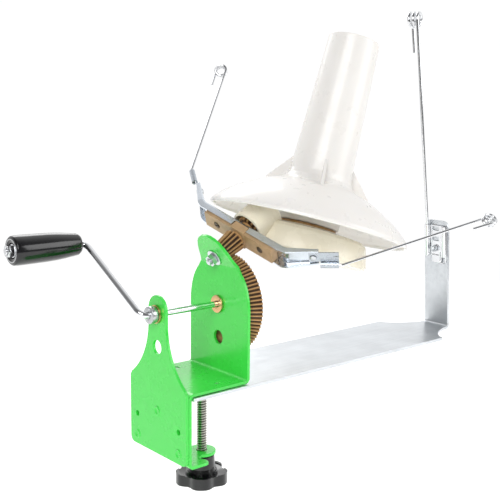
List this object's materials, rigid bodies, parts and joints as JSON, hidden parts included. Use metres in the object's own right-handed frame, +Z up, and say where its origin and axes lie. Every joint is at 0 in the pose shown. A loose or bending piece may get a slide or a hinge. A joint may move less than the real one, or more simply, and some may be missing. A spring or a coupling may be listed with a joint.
{
  "type": "ball winder",
  "caption": "Table-clamped ball winder: green sheet-steel bracket, bent crank, bevel gears, wire flyer, tilted winding cone and yarn guide on a tail strip.",
  "frame": {"origin": "on the underside of the tail strip, where it rests on the table top, straight above the clamp screw's distance from the front wall and midway across the strip", "axes": "+X from the crank towards the tail strip's upright, +Y across the strip, +Z up away from the table"},
  "size_m": [0.4915, 0.3148, 0.4458],
  "materials": {
    "green_paint": "gloss powder coat",
    "chrome": "bright plated",
    "zinc_steel": "zinc plated",
    "brass": "turned",
    "brown_nylon": "moulded, satin",
    "ivory_plastic": "moulded, gloss",
    "black_plastic": "moulded, gloss"
  },
  "bodies": {
    "frame": {"main_bracket": "green_paint", "bearing_plate": "green_paint", "front_bushing": "brass", "rear_bushing": "brass", "flyer_axle": "zinc_steel", "axle_nut": "zinc_steel", "axle_washer": "zinc_steel", "axle_spacer": "brass", "case_nut": "zinc_steel", "gear_case": "ivory_plastic", "cone_spindle": "zinc_steel", "spindle_nut": "zinc_steel", "cone_washer": "zinc_steel", "cone_nut": "zinc_steel", "tail_strip": "zinc_steel", "strip_screw_1": "zinc_steel", "strip_screw_2": "zinc_steel", "guide_clip": "zinc_steel", "guide_screw": "zinc_steel", "guide_nut": "zinc_steel"},
    "crank": {"crank_rod": "chrome", "retaining_collar": "chrome", "drive_gear": "brown_nylon", "drive_gear_nut": "zinc_steel", "drive_gear_washer": "zinc_steel", "grip_washer": "chrome", "grip_nut": "chrome"},
    "grip": {"handle_grip": "black_plastic"},
    "flyer": {"flyer_hub": "brown_nylon", "flyer_channel": "zinc_steel", "flyer_screw_near": "zinc_steel", "flyer_screw_far": "zinc_steel", "wire_clip_near": "zinc_steel", "wire_clip_far": "zinc_steel", "clip_rivet_near": "zinc_steel", "clip_rivet_far": "zinc_steel", "flyer_wire_near": "chrome", "flyer_wire_far": "chrome"},
    "cone": {"winding_cone": "ivory_plastic", "cone_gear": "brown_nylon", "cone_screw_1": "zinc_steel", "cone_screw_2": "zinc_steel", "cone_screw_3": "zinc_steel"},
    "yarn_guide": {"guide_wire": "chrome"},
    "clamp_foot": {"clamp_pad": "zinc_steel"},
    "clamp_spindle": {"clamp_screw": "zinc_steel", "clamp_knob": "black_plastic"}
  },
  "joints": [
    {"name": "crank_turn", "type": "hinge", "parent": "frame", "child": "crank", "pos_m": [-0.038, 0, 0.0703], "axis": [1, 0, 0], "continuous": true},
    {"name": "grip_spin", "type": "hinge", "parent": "crank", "child": "grip", "pos_m": [-0.088, 0.09543, 0.12298], "axis": [1, 0, 0], "continuous": true},
    {"name": "flyer_turn", "type": "hinge", "parent": "frame", "child": "flyer", "pos_m": [-0.047, 0, 0.0703], "axis": [0.8572, 0, 0.515], "continuous": true},
    {"name": "cone_turn", "type": "hinge", "parent": "frame", "child": "cone", "pos_m": [0.1446, 0, 0.1371], "axis": [0.309, 0, 0.9511], "continuous": true},
    {"name": "guide_swivel", "type": "hinge", "parent": "frame", "child": "yarn_guide", "pos_m": [0.34291, 0.01, 0.11965], "axis": [-0.0628, 0, 0.998], "range_deg": [-45, 45]},
    {"name": "clamp_travel", "type": "slide", "parent": "frame", "child": "clamp_foot", "axis": [0, 0, -1], "range_m": [0, 0.0401]},
    {"name": "clamp_turn", "type": "hinge", "parent": "clamp_foot", "child": "clamp_spindle", "pos_m": [0, -0.016, -0.0297], "axis": [0, 0, -1], "range_deg": [0, 6260.87]}
  ],
  "couplings": [
    {"joint": "flyer_turn", "follows": "crank_turn", "ratio": -4.9333},
    {"joint": "cone_turn", "follows": "crank_turn", "ratio": 0.81181},
    {"joint": "clamp_travel", "follows": "clamp_turn", "m_per_rad": 0.00036606}
  ]
}
